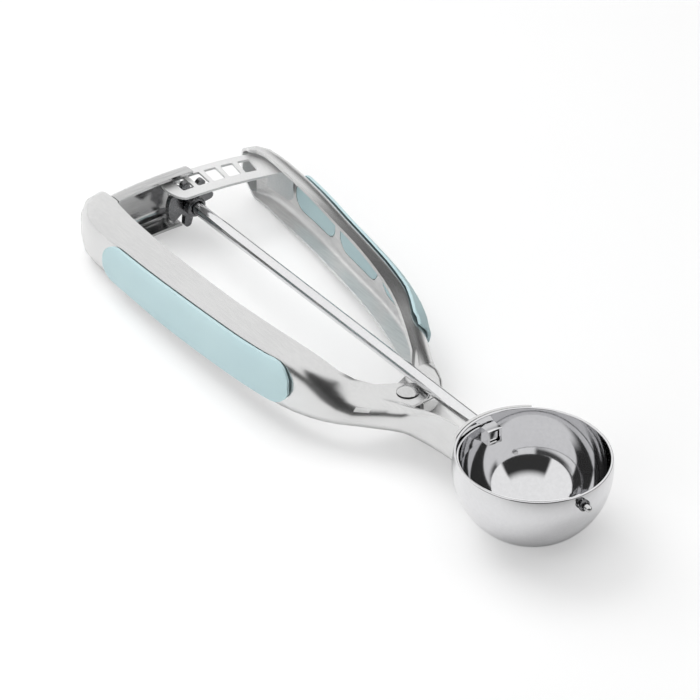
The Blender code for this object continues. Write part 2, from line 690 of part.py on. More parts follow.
def build_wiper_band(parent, steel):
    """The thin blade along half the ball, its square sleeve at the rod and its round ear at the tip."""
    outer = BALL_INNER - GAP
    sleeve_half = ROD_SQUARE / 2 + GAP + SLEEVE_WALL
    start = math.asin((ROD_SQUARE / 2 + GAP) / outer)
    ear = math.asin(TIP_EAR_RADIUS / outer)
    stations = []
    for angle in np.linspace(start, math.pi - ear, 36):
        width = BAND_END_WIDTH + (BAND_WIDTH - BAND_END_WIDTH) * math.sin(angle) ** 0.7
        stations.append((angle, width / 2))
    stations[-1] = (math.pi - ear, BAND_END_WIDTH / 2)
    for turn in np.linspace(math.pi / 2, 0.0, 7)[:-1]:
        stations.append((math.pi + ear * math.cos(turn), TIP_EAR_RADIUS * math.sin(turn)))
    stations.append((math.pi + ear, TIP_EAR_RADIUS * 0.16))
    shape = bmesh.new()
    across = 4
    layers = []
    for radius in (outer, outer - BAND_WALL):
        grid = []
        for angle, half in stations:
            row = []
            for k in range(across + 1):
                z = half * (2.0 * k / across - 1.0)
                flat = math.sqrt(radius ** 2 - z ** 2)
                row.append(shape.verts.new((-flat * math.cos(angle), -flat * math.sin(angle), z)))
            grid.append(row)
        layers.append(grid)
    join_layers(shape, *layers)
    band = add_object("wiper_band", shape, parent, steel)
    sleeve_start = -(outer - 0.00025)
    box = square_outline(sleeve_half)
    sleeve = prism(box, sleeve_start, sleeve_start + SLEEVE_LENGTH, along_x)
    boolean(band, add_cutter("sleeve", sleeve, parent), "UNION")
    bore = prism(square_outline(ROD_SQUARE / 2 + GAP), -2 * BOWL_RADIUS, 0.0, along_x)
    boolean(band, add_cutter("sleeve_bore", bore, parent), "DIFFERENCE")
    pin_hole = cylinder_cutter("ear_hole", TIP_PIN_RADIUS + GAP, 0.0, 2 * BOWL_RADIUS, along_x, parent)
    boolean(band, pin_hole, "DIFFERENCE")
    return band


def square_outline(half):
    return [(half, half), (-half, half), (-half, -half), (half, -half)]


def build_rod(parent, steel):
    """The rod, round up to the bowl and square with its corners cut inside the sleeve."""
    square_start = ROD_FRONT - ROD_SQUARE_LENGTH
    flat = ROD_SQUARE / 2
    sections = (
        (ROD_REAR, ROD_RADIUS - ROD_CHAMFER, False),
        (ROD_REAR + ROD_CHAMFER, ROD_RADIUS, False),
        (square_start - ROD_CHAMFER, ROD_RADIUS, False),
        (square_start, ROD_RADIUS, True),
        (ROD_FRONT, ROD_RADIUS, True),
    )
    shape = bmesh.new()
    rings = []
    for x, radius, is_square in sections:
        ring = []
        for u, v in ring_points(1.0):
            reach = min(radius, flat / max(abs(u), abs(v))) if is_square else radius
            ring.append(shape.verts.new((x, u * reach, v * reach)))
        rings.append(ring)
    for low, high in zip(rings, rings[1:]):
        for i in range(CIRCLE_STEPS):
            j = (i + 1) % CIRCLE_STEPS
            shape.faces.new((low[i], low[j], high[j], high[i]))
    shape.faces.new(rings[0])
    shape.faces.new(rings[-1])
    bmesh.ops.recalc_face_normals(shape, faces=shape.faces)
    return add_object("shaft_rod", shape, parent, steel)


def pinion_outline():
    """Round-ended teeth round part of the plate and one plain lobe, as (y, z) points."""
    outline = []
    half_root, half_tip = PINION_TOOTH_ROOT / 2, PINION_TOOTH_TIP / 2
    for k in range(PINION_TEETH - 1, -1, -1):
        middle = PINION_FIRST_TOOTH - k * TOOTH_STEP
        along, side = (math.cos(middle), math.sin(middle)), (-math.sin(middle), math.cos(middle))
        root = math.sqrt(PINION_ROOT_RADIUS ** 2 - half_root ** 2)
        shoulder = PINION_TIP_RADIUS - half_tip
        local = [(root, -half_root)]
        for turn in np.linspace(-math.pi / 2, math.pi / 2, 9):
            local.append((shoulder + half_tip * math.cos(turn), half_tip * math.sin(turn)))
        local.append((root, half_root))
        for u, w in local:
            outline.append((u * along[0] + w * side[0], u * along[1] + w * side[1]))
        flank = math.asin(half_root / PINION_ROOT_RADIUS)
        if k > 0:
            angle = middle + TOOTH_STEP / 2
            outline.append((PINION_ROOT_RADIUS * math.cos(angle), PINION_ROOT_RADIUS * math.sin(angle)))
    corner = LOBE_CORNER
    inset = corner / (PINION_LOBE_RADIUS - corner)
    for edge, turn in ((LOBE_START, -1.0), (LOBE_END, 1.0)):
        centre = edge - turn * inset
        reach = PINION_LOBE_RADIUS - corner
        arc = []
        for a in np.linspace(0.0, math.pi / 2, 4):
            direction = centre + turn * a
            arc.append((reach * math.cos(centre) + corner * math.cos(direction),
                        reach * math.sin(centre) + corner * math.sin(direction)))
        foot = (PINION_ROOT_RADIUS * math.cos(edge), PINION_ROOT_RADIUS * math.sin(edge))
        if turn < 0.0:
            outline.append(foot)
            outline.extend(arc[::-1])
            for a in np.linspace(LOBE_START + inset, LOBE_END - inset, 10)[1:-1]:
                outline.append((PINION_LOBE_RADIUS * math.cos(a), PINION_LOBE_RADIUS * math.sin(a)))
        else:
            outline.extend(arc)
            outline.append(foot)
    return outline


def build_pinion(parent, steel):
    half = PINION_THICKNESS / 2
    plate = prism(pinion_outline(), PINION_X - half, PINION_X + half, along_x)
    pinion = add_object("star_pinion", plate, parent, steel)
    bore = cylinder_cutter("pinion_bore", ROD_RADIUS + GAP, PINION_X - 2 * half, PINION_X + 2 * half, along_x,
                           parent)
    boolean(pinion, bore, "DIFFERENCE")
    return pinion


def tube(inner, outer, low, high, place, chamfer=0.0):
    """A turned tube whose outer edges may be chamfered."""
    outline = [(inner, low), (outer - chamfer, low)]
    if chamfer:
        outline += [(outer, low + chamfer), (outer, high - chamfer)]
    outline += [(outer - chamfer, high), (inner, high)]
    return turned(outline, place)


def build_collars(wiper_axis, tool, steel):
    rear = PINION_X + PINION_THICKNESS / 2 + GAP
    collar = tube(ROD_RADIUS + GAP, COLLAR_RADIUS, rear, rear + COLLAR_LENGTH, along_x, COLLAR_CHAMFER)
    add_object("pinion_collar", collar, wiper_axis, steel)
    front = BOWL_RADIUS + GAP
    tip = tube(TIP_PIN_RADIUS + GAP, TIP_COLLAR_RADIUS, front, front + TIP_COLLAR_LENGTH, along_x,
               COLLAR_CHAMFER / 2)
    add_object("tip_collar", tip, tool, steel)


def build_tip_pin(parent, steel):
    """The pin through the bowl's front: a flat head inside and a rounded stub outside."""
    head_front = BALL_INNER - GAP - BAND_WALL - GAP
    end = BOWL_RADIUS + TIP_PIN_REACH
    outline = [(0.0, head_front - TIP_PIN_HEAD), (TIP_PIN_HEAD_RADIUS * 0.8, head_front - TIP_PIN_HEAD)]
    outline += [(TIP_PIN_HEAD_RADIUS, head_front - TIP_PIN_HEAD * 0.5), (TIP_PIN_HEAD_RADIUS, head_front)]
    outline += [(TIP_PIN_RADIUS, head_front)]
    for turn in np.linspace(0.0, math.pi / 2, 5):
        outline.append((TIP_PIN_RADIUS * math.cos(turn), end - TIP_PIN_RADIUS * (1.0 - math.sin(turn))))
    outline[-1] = (0.0, end)
    return add_object("tip_pin", turned(outline, along_x, 24), parent, steel)


def rack_point(radius, angle):
    """A plan point at a radius from the pivot; the angle starts at the rear and grows to the moving side."""
    return (PIVOT_X - radius * math.cos(angle), PIVOT_Y + radius * math.sin(angle))


def rack_angle(radius, y):
    return math.asin((y - PIVOT_Y) / radius)


def rounded_rectangle(half_length, half_width, corner, steps=3):
    outline = []
    for quarter in range(4):
        sx = (1, -1, -1, 1)[quarter]
        sy = (1, 1, -1, -1)[quarter]
        centre = (sx * (half_length - corner), sy * (half_width - corner))
        for k in range(steps + 1):
            angle = math.pi / 2 * (quarter + k / steps)
            outline.append((centre[0] + corner * math.cos(angle), centre[1] + corner * math.sin(angle)))
    return outline


def build_rack(parent, steel):
    """The slotted plate, its bent-down tab and the flange that is welded to the moving handle's wall."""
    low, high = PITCH_RADIUS - RACK_SHEET / 2, PITCH_RADIUS + RACK_SHEET / 2
    half_hole = RACK_HOLE_WIDTH / 2
    inner, outer = RACK_RADIUS - half_hole - RACK_INNER_MARGIN, RACK_RADIUS + half_hole + RACK_OUTER_MARGIN
    first = rack_angle(RACK_RADIUS, -PITCH_RADIUS * (PINION_FIRST_TOOTH - math.pi / 2))
    nose_start = first - (RACK_HOLE_LENGTH / 2 + GAP) / RACK_RADIUS
    nose_reach = RACK_NOSE - RACK_HOLE_LENGTH / 2 - GAP
    middle, half = (inner + outer) / 2, (outer - inner) / 2
    outline = []
    for angle in np.linspace(nose_start, rack_angle(inner, TAB_END_Y - 2.0 * TAB_CORNER), 16):
        outline.append(rack_point(inner, angle))
    outline.append(rack_point(RACK_RADIUS, rack_angle(RACK_RADIUS, TAB_END_Y - 3.0 * TAB_CORNER)))
    for angle in np.linspace(rack_angle(outer, TAB_START_Y + RACK_END_SLANT), nose_start, 14):
        outline.append(rack_point(outer, angle))
    for turn in np.linspace(0.0, math.pi, 13)[1:-1]:
        angle = nose_start - nose_reach * math.sin(turn) ** 0.8 / RACK_RADIUS
        outline.append(rack_point(middle + half * math.cos(turn), angle))
    rack = add_object("rack", prism(outline, low, high, along_z), parent, steel)
    for k in range(RACK_HOLES):
        angle = first + k * RACK_STEP
        centre = rack_point(RACK_RADIUS, angle)
        across, along = (-math.cos(angle), math.sin(angle)), (math.sin(angle), math.cos(angle))
        shape = []
        for u, v in rounded_rectangle(half_hole, RACK_HOLE_LENGTH / 2, RACK_HOLE_CORNER):
            shape.append((centre[0] + u * across[0] + v * along[0], centre[1] + u * across[1] + v * along[1]))
        hole = prism(shape, low - RACK_SHEET, high + RACK_SHEET, along_z)
        boolean(rack, add_cutter(f"rack_hole_{k + 1}", hole, parent), "DIFFERENCE")
    root = Vector(rack_point(inner, rack_angle(inner, TAB_START_Y)))
    tip = Vector(rack_point(inner, rack_angle(inner, TAB_END_Y)))
    width, along = (tip - root).length, (tip - root).normalized()

    def on_bend(u, v, h):
        return (root.x + along.x * u - along.y * h, root.y + along.y * u + along.x * h, v)

    mid = (low + high) / 2
    tab = [(0.0, mid), (0.0, TAB_STEP), (width - 4.0 * TAB_CORNER, TAB_LOW + TAB_CORNER)]
    tab += [(width - 2.5 * TAB_CORNER, TAB_LOW), (width - TAB_CORNER, TAB_LOW), (width, TAB_LOW + TAB_CORNER)]
    tab += [(width, TAB_STEP), (width - 2.0 * TAB_CORNER, mid)]
    face = RACK_SHEET * 0.15
    tab_shape = prism(tab, face, face + RACK_SHEET, on_bend)
    boolean(rack, add_cutter("rack_tab", tab_shape, parent), "UNION")
    near, far = TAB_END_Y - RACK_SHEET, TAB_END_Y - RACK_SHEET * 0.02
    flange = [(near, TAB_LOW + TAB_CORNER), (far, TAB_LOW + TAB_CORNER), (far, TAB_STEP), (near, TAB_STEP)]
    flange_shape = prism(flange, tip.x - TAB_FLANGE, tip.x - RACK_SHEET * 0.6, along_x)
    boolean(rack, add_cutter("rack_flange", flange_shape, parent), "UNION")
    return rack


def arc_x(x, y):
    """Where a circle about the pivot that reaches x beside it has come to at this y."""
    return PIVOT_X - math.sqrt((PIVOT_X - x) ** 2 - (y - PIVOT_Y) ** 2)


def build_guide(parent, steel):
    """The folded sheet over the rack's outer edge, with a round tongue that carries the rod's rear end."""
    back = PINION_X - GUIDE_BACK
    lip = PINION_X - GUIDE_LIP
    floor_edge = PINION_X - PINION_THICKNESS / 2 - GAP
    section = profile((lip, 0.0), (back, 0.0), GRIP_TOP, GUIDE_ROLL, GUIDE_DROP, GUIDE_BOTTOM,
                      (floor_edge, 0.0), GUIDE_FILLET)
    nest_end = FIXED_RIBS[-1][1] * FIXED_REACH + GAP
    rows = [[(arc_x(x, nest_end - GUIDE_NEST), nest_end - GUIDE_NEST, z) for x, _, z in section]]
    for share in np.arange(9) / 8.0:
        row = []
        for x, _, z in section:
            rise = min(max((z + GUIDE_DROP) / (2.0 * GUIDE_DROP), 0.0), 1.0)
            end = GUIDE_LOW_END + (GUIDE_TOP_END - GUIDE_LOW_END) * rise
            y = nest_end + (end - nest_end) * share
            row.append((arc_x(x, y), y, z))
        rows.append(row)
    nested_columns = FLANGE_FACES + 4
    sheet = sheet_from_rows(rows, lambda i, j: i == 0 and j < nested_columns)
    guide = add_object("rack_guide", sheet, parent, steel)
    thicken(guide, GUIDE_SHEET, 1.0)
    outline = [(2.5 * GUIDE_LOW_END, -TONGUE_RADIUS)]
    for turn in np.linspace(-math.pi / 2, math.pi / 2, 17):
        outline.append((TONGUE_RADIUS * math.cos(turn), TONGUE_RADIUS * math.sin(turn)))
    outline.append((2.5 * GUIDE_LOW_END, TONGUE_RADIUS))
    shave = GUIDE_SHEET * 0.02
    tongue = prism(outline, back + shave, back + GUIDE_SHEET - shave, along_x)
    boolean(guide, add_cutter("tongue", tongue, parent), "UNION")
    bearing = cylinder_cutter("bearing_hole", ROD_RADIUS + GAP, 2 * PINION_X, PINION_X - GUIDE_LIP, along_x,
                              parent)
    boolean(guide, bearing, "DIFFERENCE")
    return guide


def build_pivot(tool, steel):
    """The rivet, the washer under the fixed floor and the tube that keeps the spring off the shank."""
    place = about(PIVOT_X, PIVOT_Y)
    head_low = PLATE_TOP + GAP
    washer_top = GRIP_BOTTOM - GAP
    tail_top = washer_top - WASHER_THICKNESS - GAP
    tail_low = tail_top - RIVET_TAIL_HEIGHT
    dome = (RIVET_HEAD_RADIUS ** 2 + RIVET_HEAD_HEIGHT ** 2) / (2.0 * RIVET_HEAD_HEIGHT)
    outline = [(0.0, tail_low), (RIVET_TAIL_RADIUS * 0.75, tail_low), (RIVET_TAIL_RADIUS, tail_low + GAP)]
    outline += [(RIVET_TAIL_RADIUS, tail_top), (RIVET_RADIUS, tail_top), (RIVET_RADIUS, head_low)]
    edge = math.asin(RIVET_HEAD_RADIUS / dome)
    for turn in np.linspace(edge, 0.0, 8):
        outline.append((dome * math.sin(turn), head_low + RIVET_HEAD_HEIGHT - dome * (1.0 - math.cos(turn))))
    outline[-1] = (0.0, head_low + RIVET_HEAD_HEIGHT)
    add_object("pivot_rivet", turned(outline, place), tool, steel)
    washer = tube(RIVET_RADIUS + GAP, WASHER_RADIUS, washer_top - WASHER_THICKNESS, washer_top, place)
    add_object("pivot_washer", washer, tool, steel)
    spacer = tube(RIVET_RADIUS + GAP, RIVET_RADIUS + GAP + SPACER_WALL, SPRING_BOTTOM, SPRING_TOP, place)
    add_object("spring_spacer", spacer, tool, steel)


def reach_to_wall(start, way, wall):
    """How far one can go in plan from start before meeting a wall's line of points."""
    for first, second in zip(wall, wall[1:]):
        side = second - first
        cross = way[0] * side[1] - way[1] * side[0]
        gap = first - start
        reach = (gap[0] * side[1] - gap[1] * side[0]) / cross
        share = (gap[0] * way[1] - gap[1] * way[0]) / cross
        if reach > 0.0 and 0.0 <= share <= 1.0:
            return reach
    return 0.0


def build_spring(parent, steel):
    """The wire spring round the spacer: a coil and two straight legs that bear on the handles' walls."""
    wire = SPRING_WIRE / 2
    radius = RIVET_RADIUS + 2 * GAP + SPACER_WALL + wire
    rise = SPRING_TOP - SPRING_BOTTOM - SPRING_WIRE - GAP
    steps = int(SPRING_TURNS * 24)
    points = []
    for k in range(steps + 1):
        angle = SPRING_START + 2.0 * math.pi * SPRING_TURNS * k / steps
        height = SPRING_BOTTOM + wire + GAP / 2 + rise * k / steps
        points.append(Vector((PIVOT_X + radius * math.cos(angle), PIVOT_Y + radius * math.sin(angle), height)))
    first = (points[0] - points[1]).normalized()
    last = (points[-1] - points[-2]).normalized()
    flat_first = Vector((first.x, first.y, 0.0)).normalized()
    flat_last = Vector((last.x, last.y, 0.0)).normalized()
    fixed_wall = wall_path(fixed_rows())[0]
    fixed_leg = reach_to_wall(np.array(points[0])[:2], np.array(flat_first)[:2], fixed_wall) - SPRING_LEG_GAP
    print("spring: fixed leg", round(fixed_leg * 1000, 2), "mm")
    points.insert(0, points[0] + flat_first * fixed_leg)
    points.append(points[-1] + flat_last * SPRING_MOVING_LEG)
    sides = 8
    shape = bmesh.new()
    rings = []
    for k, point in enumerate(points):
        before, after = points[max(k - 1, 0)], points[min(k + 1, len(points) - 1)]
        along = (after - before).normalized()
        out = along.cross(Vector((0.0, 0.0, 1.0))).normalized()
        up = out.cross(along)
        ring = []
        for a in np.arange(sides) / sides * 2.0 * math.pi:
            ring.append(shape.verts.new(point + out * wire * math.cos(a) + up * wire * math.sin(a)))
        rings.append(ring)
    for low, high in zip(rings, rings[1:]):
        for i in range(sides):
            j = (i + 1) % sides
            shape.faces.new((low[i], low[j], high[j], high[i]))
    shape.faces.new(rings[0])
    shape.faces.new(rings[-1])
    bmesh.ops.recalc_face_normals(shape, faces=shape.faces)
    print("spring: least gap between turns", round((rise / SPRING_TURNS - SPRING_WIRE) * 1000, 3), "mm")
    return add_object("torsion_spring", shape, parent, steel, 50.0)


def stand_tool(tool):
    """Lay the tool on the bowl's underside and the handles' rear ends, centred over the origin."""
    rest_x, rest_z = PINION_X - GUIDE_BACK, -GRIP_BOTTOM
    reach = math.hypot(rest_x, rest_z)
    pitch = math.asin(BOWL_RADIUS / reach) - math.atan2(rest_z, -rest_x)
    tool.rotation_euler = (0.0, -pitch, 0.0)
    bpy.context.view_layer.update()
    graph = bpy.context.evaluated_depsgraph_get()
    points = []
    for item in bpy.data.objects:
        if item.type == "MESH" and not item.hide_render:
            finished = item.evaluated_get(graph)
            corners = np.array([vertex.co for vertex in finished.to_mesh().vertices])
            world = np.array(item.matrix_world)
            points.append(corners @ world[:3, :3].T + world[:3, 3])
            finished.to_mesh_clear()
    points = np.vstack(points)
    low, high = points.min(axis=0), points.max(axis=0)
    tool.location = (-(low[0] + high[0]) / 2.0, -(low[1] + high[1]) / 2.0, -low[2])
    print("overall size in mm", np.round((high - low) * 1000, 2).tolist())
    print("pitch in degrees", round(math.degrees(pitch), 4))
    print("tool frame stands at mm", [round(value * 1000, 3) for value in tool.location])


def build():
    for item in list(bpy.data.objects):
        bpy.data.objects.remove(item, do_unlink=True)
    satin = material("satin_steel", (0.72, 0.73, 0.74), 1.0, 0.32)
    bright = material("polished_steel", (0.78, 0.78, 0.79), 1.0, 0.12)
    spring = material("spring_steel", (0.55, 0.56, 0.58), 1.0, 0.3)
    rubber = material("aqua_rubber", (0.48, 0.67, 0.68), 0.0, 0.6)
    tool = empty("tool_frame", (0.0, 0.0, 0.0))
    squeeze = empty("squeeze_axis", (PIVOT_X, PIVOT_Y, 0.0), tool)
    sweep = empty("sweep_axis", (PINION_X, 0.0, 0.0), tool)
    build_fixed_handle(tool, satin, rubber)
    build_moving_handle(squeeze, satin, rubber)
    build_bowl(tool, satin)
    build_wiper_band(sweep, bright)
    build_rod(sweep, bright)
    build_pinion(sweep, satin)
    build_collars(sweep, tool, satin)
    build_tip_pin(sweep, bright)
    build_rack(squeeze, satin)
    build_guide(tool, satin)
    build_pivot(tool, satin)
    build_spring(tool, spring)
    stand_tool(tool)


build()
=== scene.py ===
import json
import math

import bpy
from mathutils import Matrix, Vector


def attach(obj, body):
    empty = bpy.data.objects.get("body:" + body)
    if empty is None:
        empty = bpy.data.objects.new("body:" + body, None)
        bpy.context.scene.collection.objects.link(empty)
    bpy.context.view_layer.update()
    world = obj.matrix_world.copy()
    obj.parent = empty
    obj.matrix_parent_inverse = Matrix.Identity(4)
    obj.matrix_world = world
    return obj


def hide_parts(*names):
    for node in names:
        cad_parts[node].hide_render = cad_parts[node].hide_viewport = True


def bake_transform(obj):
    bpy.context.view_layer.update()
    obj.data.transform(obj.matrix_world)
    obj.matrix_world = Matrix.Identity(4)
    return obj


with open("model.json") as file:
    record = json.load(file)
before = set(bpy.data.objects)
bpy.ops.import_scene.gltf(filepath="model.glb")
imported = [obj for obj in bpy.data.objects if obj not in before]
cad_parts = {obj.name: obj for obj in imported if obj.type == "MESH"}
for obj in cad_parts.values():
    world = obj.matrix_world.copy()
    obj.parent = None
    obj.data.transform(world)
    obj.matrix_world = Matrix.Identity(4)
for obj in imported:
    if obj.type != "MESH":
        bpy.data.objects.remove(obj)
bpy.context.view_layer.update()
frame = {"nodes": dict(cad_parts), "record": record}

CAD = frame["nodes"]

# How the tool lies on the table: its own frame has the ball's centre as origin and +X along the rod
PITCH = math.radians(3.9501)
TOOL_PLACE = Vector((0.08024, 0.002969, 0.023247))
TOOL = Matrix.Translation(TOOL_PLACE) @ Matrix.Rotation(-PITCH, 4, "Y")

# The bowl: a ball cut off above its middle, with a hole for the rod and one for the tip pin
BALL_RADIUS = 0.02325
BALL_WALL = 0.0008
BALL_SEGMENTS = 128
BALL_RINGS = 96
RIM_HEIGHT = 0.0042
RIM_LEAN = math.radians(3.0)
RIM_ROUNDING = 0.00034
RIM_STEPS = 4
BOWL_CREASE = 40.0
ROD_HOLE_RADIUS = 0.0023
PIN_HOLE_RADIUS = 0.00132
DRILL_LENGTH = 0.012
DRILL_SIDES = 64

# How the other pieces' meshes are finished, with angles in degrees
MERGE_REACH = 0.000002
FLAT_UP_TO = 12.0
SQUARE_UP_TO = 60.0
CREASE = 32.0
SMOOTH_UP_TO = 50.0
NORMAL_WEIGHT = 60

# Which faces lie inside a handle's channel: how far a wall leans, how level a floor is, and where it ends
INNER_WALL = 0.3
INNER_LEVEL = 0.5
INNER_FLOOR_TOP = -0.004

# Finishes: the scales of the soft patches, how sharply they part, and how deep the fine grain goes
NOISE_MIDDLE = 0.5
PATCH_EDGES = (0.35, 0.65)
STEEL_PATCHES = 38.0
STEEL_DETAIL = 3.0
STEEL_COARSENESS = 0.6
STEEL_DEPTH = 0.00005
RUBBER_PATCHES = 30.0
RUBBER_PEEL = 2600.0
RUBBER_RELIEF = 0.12
RUBBER_DEPTH = 0.00004
RUBBER_ROUGHNESS = 0.56
RUBBER_SPREAD = 0.12

# The photograph's viewpoint, in the tool's frame
VIEW_TURN = math.radians(54.328)
VIEW_DIP = math.radians(33.322)
VIEW_ROLL = math.radians(0.346)
VIEW_OFFSET = Vector((0.052289, -0.033132, 1.581))
FOCAL_PIXELS = 5529.53
FRAME_PIXELS = 700
SENSOR = 36.0

# The table: its tones, how far out the painted reflection darkens it in the steel's mirror, and how much of it
# glows by itself
TABLE_SIZE = 4.0
TABLE_DROP = 0.0002
TABLE_TONES = (0.93, 0.95)
TABLE_PATCHES = 6.0
TABLE_PAINTED_REFLECTION_TONE = 0.06
TABLE_FAR = (0.10, 0.26)
TABLE_PAINTED_NEAR_SHARE = 0.03
TABLE_PAINTED_FAR_SHARE = 0.90
TABLE_ROUGHNESS = 0.7
TABLE_GLOW = 0.4

# The tent: how bright it is, which way its dark front and its open side lie, in degrees, how wide each is out
# to its soft edge and in to its full part, and between which heights the dark parts fade
TENT_LIGHT = 1.04
FRONT = -27.0
FRONT_WIDTHS = (44.0, 38.0)
FRONT_FOOT = (0.20, 0.28)
FRONT_HEAD = (0.66, 0.82)
FRONT_DIMMING = 0.96
OPEN_SIDE = -168.0
OPEN_WIDTHS = (62.0, 48.0)
BAND_HEAD = (0.18, 0.36)
BAND_DIMMING = 0.92

# The lamps: each one's place, its size and its watts
LAMPS = {
    "key": ((-0.55, -0.15, 0.75), 0.7, 4.6),
    "overhead": ((0.0, 0.0, 1.1), 1.6, 11.0),
    "front": ((0.35, -0.85, 0.55), 0.8, 4.5),
}


# Selecting and finishing pieces

def deselect():
    bpy.ops.object.select_all(action="DESELECT")


def pick(piece):
    deselect()
    piece.select_set(True)
    bpy.context.view_layer.objects.active = piece


def edit_all(piece):
    pick(piece)
    bpy.ops.object.mode_set(mode="EDIT")
    bpy.ops.mesh.select_mode(type="VERT")
    bpy.ops.mesh.select_all(action="SELECT")


def leave():
    bpy.ops.object.mode_set(mode="OBJECT")


def apply_modifier(piece, kind, **settings):
    pick(piece)
    modifier = piece.modifiers.new(kind.lower(), kind)
    for name, value in settings.items():
        setattr(modifier, name, value)
    bpy.ops.object.modifier_apply(modifier=modifier.name)


def smooth(piece, angle):
    pick(piece)
    bpy.ops.object.shade_smooth_by_angle(angle=math.radians(angle))


def lay_down(piece):
    """Bring a piece modelled in the tool's frame to where the tool lies, with its place in its mesh."""
    piece.matrix_world = TOOL
    pick(piece)
    bpy.ops.object.transform_apply(location=True, rotation=True, scale=True)


def body_of(node):
    bodies = frame["record"]["behaviour"]["bodies"]
    return next(body for body, members in bodies.items() if node in members)


def dressed_copy(node, edge, rounds, rides=True):
    """A merged copy of a solid whose edges are eased, standing for the solid."""
    piece = CAD[node].copy()
    piece.data = CAD[node].data.copy()
    for key in list(piece.keys()):
        del piece[key]
    piece.parent = None
    piece.name = node + "_finished"
    piece.data.materials.clear()
    bpy.context.scene.collection.objects.link(piece)
    edit_all(piece)
    bpy.ops.mesh.remove_doubles(threshold=MERGE_REACH)
    bpy.ops.mesh.tris_convert_to_quads(face_threshold=math.radians(FLAT_UP_TO),
                                       shape_threshold=math.radians(SQUARE_UP_TO))
    leave()
    if piece.data.has_custom_normals:
        bpy.ops.mesh.customdata_custom_splitnormals_clear()
    if edge:
        apply_modifier(piece, "BEVEL", width=edge, segments=rounds, limit_method="ANGLE",
                       angle_limit=math.radians(CREASE), use_clamp_overlap=True, miter_outer="MITER_ARC")
    smooth(piece, SMOOTH_UP_TO)
    apply_modifier(piece, "WEIGHTED_NORMAL", keep_sharp=True, weight=NORMAL_WEIGHT)
    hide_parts(node)
    if rides:
        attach(piece, body_of(node))
    return piece


# Shader maths

class Amount:
    """A socket in one finish's tree. An expression on amounts adds the Math nodes that it needs."""

    def __init__(self, finish, socket):
        self.finish = finish
        self.socket = socket

    def maths(self, operation, first, second):
        return self.finish.node("ShaderNodeMath", {"operation": operation}, {0: first, 1: second})

    def __add__(self, other):
        return self.maths("ADD", self, other)

    __radd__ = __add__

    def __mul__(self, other):
        return self.maths("MULTIPLY", self, other)

    __rmul__ = __mul__

    def __sub__(self, other):
        return self.maths("SUBTRACT", self, other)

    def __rsub__(self, other):
        return self.maths("SUBTRACT", other, self)


class Finish:
    """One node tree, of a material or of the world."""

    def __init__(self, tree):
        self.tree = tree
        tree.nodes.clear()

    def node(self, kind, settings=None, values=None, output=0):
        made = self.tree.nodes.new(kind)
        for name, value in (settings or {}).items():
            setattr(made, name, value)
        for name, value in (values or {}).items():
            socket = made.inputs[name]
            if isinstance(value, Amount):
                self.tree.links.new(value.socket, socket)
            else:
                socket.default_value = value
        return Amount(self, made.outputs[output] if made.outputs else None)

    def place(self, stretch=(1.0, 1.0, 1.0)):
        spot = self.node("ShaderNodeTexCoord", output="Object")
        return self.node("ShaderNodeMapping", {}, {"Vector": spot, "Scale": stretch})

    def noise(self, spot, scale, detail=2.0, roughness=0.5):
        return self.node("ShaderNodeTexNoise", {"noise_dimensions": "3D"},
                         {"Vector": spot, "Scale": scale, "Detail": detail, "Roughness": roughness})

    def step(self, value, low, high):
        """0 below low, 1 above high, eased between."""
        return self.node("ShaderNodeMapRange", {"interpolation_type": "SMOOTHSTEP"},
                         {"Value": value, "From Min": low, "From Max": high, "To Min": 0.0, "To Max": 1.0})

    def blend(self, factor, first, second):
        return self.node("ShaderNodeMix", {"data_type": "RGBA"}, {0: factor, 6: first, 7: second}, output=2)

    def bump(self, height, strength, distance):
        return self.node("ShaderNodeBump", {},
                         {"Height": height, "Strength": strength, "Distance": distance})

    def surface(self, **values):
        named = {name.replace("_", " "): value for name, value in values.items()}
        shader = self.node("ShaderNodeBsdfPrincipled", {}, named)
        self.node("ShaderNodeOutputMaterial", {}, {"Surface": shader})


def new_finish(name):
    material = bpy.data.materials.new(name)
    material.use_nodes = True
    return material, Finish(material.node_tree)


# Finishes

LENGTHWAYS = (0.06, 1.0, 1.0)
CROSSWAYS = (1.0, 0.06, 1.0)
EVEN = (1.0, 1.0, 1.0)


def grey(level, blue=0.0):
    return (level, level, level + blue, 1.0)


def metal(name, light, dark, roughness, spread, stretch, grain, relief, metallic=1.0):
    """Steel with fine lines along the stretched way, a little uneven from place to place."""
    material, finish = new_finish(name)
    fine = finish.noise(finish.place(stretch), grain, STEEL_DETAIL, STEEL_COARSENESS)
    broad = finish.noise(finish.place(), STEEL_PATCHES)
    shade = finish.step((fine + broad) * 0.5, *PATCH_EDGES)
    finish.surface(
        Base_Color=finish.blend(shade, dark, light),
        Metallic=metallic,
        Roughness=roughness + (fine - NOISE_MIDDLE) * spread + (broad - NOISE_MIDDLE) * spread,
        Normal=finish.bump(fine, relief, STEEL_DEPTH),
    )
    return material


def rubber(name, light, dark):
    """Soft moulded rubber: a matt face with a fine orange-peel grain."""
    material, finish = new_finish(name)
    peel = finish.noise(finish.place(), RUBBER_PEEL)
    broad = finish.noise(finish.place(), RUBBER_PATCHES)
    finish.surface(
        Base_Color=finish.blend(finish.step(broad, *PATCH_EDGES), dark, light),
        Roughness=RUBBER_ROUGHNESS + (peel - NOISE_MIDDLE) * RUBBER_SPREAD,
        Normal=finish.bump(peel, RUBBER_RELIEF, RUBBER_DEPTH),
    )
    return material


